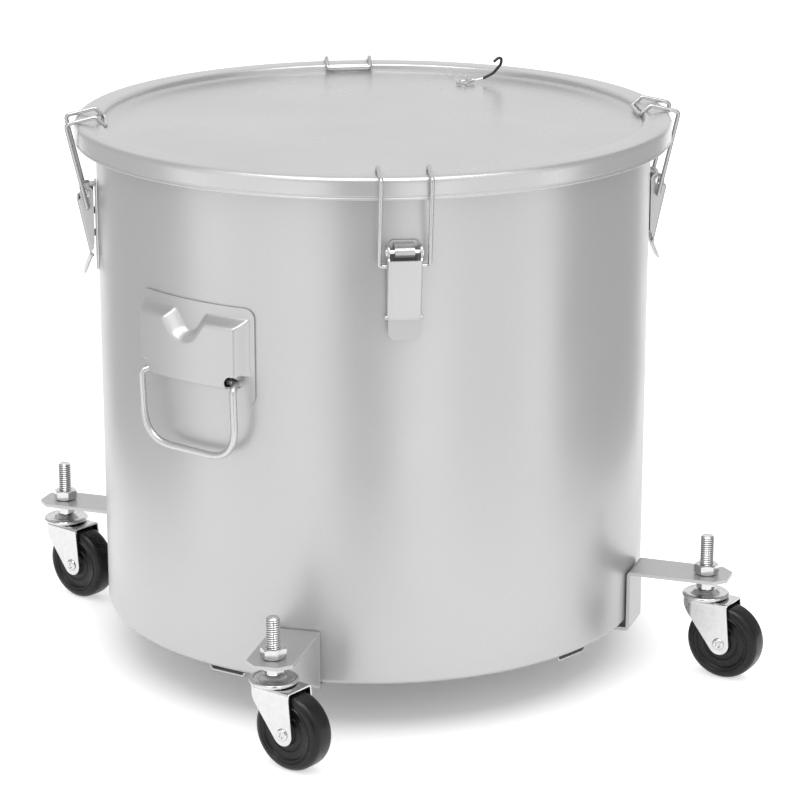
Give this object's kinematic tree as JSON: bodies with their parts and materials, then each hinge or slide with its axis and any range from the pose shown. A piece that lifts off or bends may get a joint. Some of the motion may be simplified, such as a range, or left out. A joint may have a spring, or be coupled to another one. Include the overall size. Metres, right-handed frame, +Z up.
{
  "type": "lidded drum on caster dolly",
  "caption": "Round sheet-metal drum with a toggle-latched lid and drop handles, standing in a cross-shaped base with swivel casters; a strainer bag is kept inside.",
  "frame": {"origin": "on the ground under the drum axis, which is the centre of the overall bounding box in plan", "axes": "+Z up along the drum axis; the lid panel faces +Z; the cross-shaped base has its arms a few degrees off the diagonals between +X and +Y"},
  "size_m": [0.467, 0.4983, 0.4472],
  "materials": {
    "drum_paint": "silver grey powder coat, satin",
    "lid_paint": "silver grey powder coat, satin",
    "latch_steel": "silver grey powder coat over pressed sheet",
    "strap_paint": "grey powder coat",
    "chrome": "bright plating",
    "zinc": "bright zinc plated wire and hardware",
    "wheel_black": "black moulded wheel",
    "gasket_rubber": "off-white sealing ring",
    "hook_black": "black coated wire",
    "bag_mesh": "white woven nylon mesh"
  },
  "bodies": {
    "drum": {"drum_shell": "drum_paint", "base_strap_upper": "strap_paint", "base_strap_lower": "strap_paint", "base_rivet": "zinc", "latch_plate_front": "latch_steel", "latch_plate_right": "latch_steel", "latch_plate_rear": "latch_steel", "latch_plate_left": "latch_steel", "latch_pin_front": "zinc", "latch_pin_right": "zinc", "latch_pin_rear": "zinc", "latch_pin_left": "zinc", "handle_plate_left": "drum_paint", "handle_plate_right": "drum_paint", "foot_front_left": "strap_paint", "foot_front_right": "strap_paint", "foot_rear_right": "strap_paint", "foot_rear_left": "strap_paint", "caster_stem_front": "chrome", "caster_nut_front": "zinc", "caster_cap_front": "chrome", "caster_stem_right": "chrome", "caster_nut_right": "zinc", "caster_cap_right": "chrome", "caster_stem_rear": "chrome", "caster_nut_rear": "zinc", "caster_cap_rear": "chrome", "caster_stem_left": "chrome", "caster_nut_left": "zinc", "caster_cap_left": "chrome"},
    "lid": {"lid": "lid_paint", "lid_gasket": "gasket_rubber", "lid_hook": "hook_black"},
    "lever_front": {"latch_lever_front": "latch_steel"},
    "bail_front": {"latch_bail_front": "zinc"},
    "lever_right": {"latch_lever_right": "latch_steel"},
    "bail_right": {"latch_bail_right": "zinc"},
    "lever_rear": {"latch_lever_rear": "latch_steel"},
    "bail_rear": {"latch_bail_rear": "zinc"},
    "lever_left": {"latch_lever_left": "latch_steel"},
    "bail_left": {"latch_bail_left": "zinc"},
    "ring_left": {"handle_ring_left": "zinc"},
    "ring_right": {"handle_ring_right": "zinc"},
    "swivel_front": {"caster_fork_front": "chrome", "caster_axle_front": "chrome"},
    "wheel_front": {"caster_wheel_front": "wheel_black"},
    "swivel_right": {"caster_fork_right": "chrome", "caster_axle_right": "chrome"},
    "wheel_right": {"caster_wheel_right": "wheel_black"},
    "swivel_rear": {"caster_fork_rear": "chrome", "caster_axle_rear": "chrome"},
    "wheel_rear": {"caster_wheel_rear": "wheel_black"},
    "swivel_left": {"caster_fork_left": "chrome", "caster_axle_left": "chrome"},
    "wheel_left": {"caster_wheel_left": "wheel_black"},
    "strainer": {"strainer_hoop": "zinc", "strainer_bag": "bag_mesh"}
  },
  "joints": [
    {"name": "lid_lift", "type": "slide", "parent": "drum", "child": "lid", "axis": [0, 0, 1], "range_m": [0, 0.02]},
    {"name": "lever_front_pivot", "type": "hinge", "parent": "drum", "child": "lever_front", "pos_m": [-0.0852, -0.20878, 0.376], "axis": [-0.9259, 0.3778, 0], "range_deg": [0, 130]},
    {"name": "bail_front_pivot", "type": "hinge", "parent": "lever_front", "child": "bail_front", "pos_m": [-0.08501, -0.20832, 0.3654], "axis": [0.9259, -0.3778, 0], "range_deg": [0, 280]},
    {"name": "lever_right_pivot", "type": "hinge", "parent": "drum", "child": "lever_right", "pos_m": [0.20878, -0.0852, 0.376], "axis": [-0.3778, -0.9259, 0], "range_deg": [0, 130]},
    {"name": "bail_right_pivot", "type": "hinge", "parent": "lever_right", "child": "bail_right", "pos_m": [0.20832, -0.08501, 0.3654], "axis": [0.3778, 0.9259, 0], "range_deg": [0, 280]},
    {"name": "lever_rear_pivot", "type": "hinge", "parent": "drum", "child": "lever_rear", "pos_m": [0.0852, 0.20878, 0.376], "axis": [0.9259, -0.3778, 0], "range_deg": [0, 130]},
    {"name": "bail_rear_pivot", "type": "hinge", "parent": "lever_rear", "child": "bail_rear", "pos_m": [0.08501, 0.20832, 0.3654], "axis": [-0.9259, 0.3778, 0], "range_deg": [0, 280]},
    {"name": "lever_left_pivot", "type": "hinge", "parent": "drum", "child": "lever_left", "pos_m": [-0.20878, 0.0852, 0.376], "axis": [0.3778, 0.9259, 0], "range_deg": [0, 130]},
    {"name": "bail_left_pivot", "type": "hinge", "parent": "lever_left", "child": "bail_left", "pos_m": [-0.20832, 0.08501, 0.3654], "axis": [-0.3778, -0.9259, 0], "range_deg": [0, 280]},
    {"name": "ring_left_pivot", "type": "hinge", "parent": "drum", "child": "ring_left", "pos_m": [-0.20025, -0.08916, 0.271], "axis": [-0.4067, 0.9135, 0], "range_deg": [0, 30]},
    {"name": "ring_right_pivot", "type": "hinge", "parent": "drum", "child": "ring_right", "pos_m": [0.20025, 0.08916, 0.271], "axis": [0.4067, -0.9135, 0], "range_deg": [0, 30]},
    {"name": "swivel_front", "type": "hinge", "parent": "drum", "child": "swivel_front", "pos_m": [-0.19066, -0.20232, 0.06], "axis": [0, 0, 1], "continuous": true},
    {"name": "wheel_front_spin", "type": "hinge", "parent": "swivel_front", "child": "wheel_front", "pos_m": [-0.18313, -0.21922, 0.03], "axis": [0.9135, 0.4067, 0], "continuous": true},
    {"name": "swivel_right", "type": "hinge", "parent": "drum", "child": "swivel_right", "pos_m": [0.18781, -0.20496, 0.06], "axis": [0, 0, 1], "continuous": true},
    {"name": "wheel_right_spin", "type": "hinge", "parent": "swivel_right", "child": "wheel_right", "pos_m": [0.19706, -0.22098, 0.03], "axis": [0.866, 0.5, 0], "continuous": true},
    {"name": "swivel_rear", "type": "hinge", "parent": "drum", "child": "swivel_rear", "pos_m": [0.19066, 0.20232, 0.06], "axis": [0, 0, 1], "continuous": true},
    {"name": "wheel_rear_spin", "type": "hinge", "parent": "swivel_rear", "child": "wheel_rear", "pos_m": [0.18284, 0.21909, 0.03], "axis": [-0.9063, -0.4226, 0], "continuous": true},
    {"name": "swivel_left", "type": "hinge", "parent": "drum", "child": "swivel_left", "pos_m": [-0.18781, 0.20496, 0.06], "axis": [0, 0, 1], "continuous": true},
    {"name": "wheel_left_spin", "type": "hinge", "parent": "swivel_left", "child": "wheel_left", "pos_m": [-0.18088, 0.18781, 0.03], "axis": [0.9272, 0.3746, 0], "continuous": true},
    {"name": "strainer_lift", "type": "slide", "parent": "drum", "child": "strainer", "axis": [0, 0, 1], "range_m": [0, 0.15]}
  ],
  "couplings": [
    {"joint": "lever_front_pivot", "follows": "lid_lift", "rad_per_m": 113.45},
    {"joint": "bail_front_pivot", "follows": "lid_lift", "rad_per_m": 244.35},
    {"joint": "lever_right_pivot", "follows": "lid_lift", "rad_per_m": 113.45},
    {"joint": "bail_right_pivot", "follows": "lid_lift", "rad_per_m": 244.35},
    {"joint": "lever_rear_pivot", "follows": "lid_lift", "rad_per_m": 113.45},
    {"joint": "bail_rear_pivot", "follows": "lid_lift", "rad_per_m": 244.35},
    {"joint": "lever_left_pivot", "follows": "lid_lift", "rad_per_m": 113.45},
    {"joint": "bail_left_pivot", "follows": "lid_lift", "rad_per_m": 244.35}
  ]
}
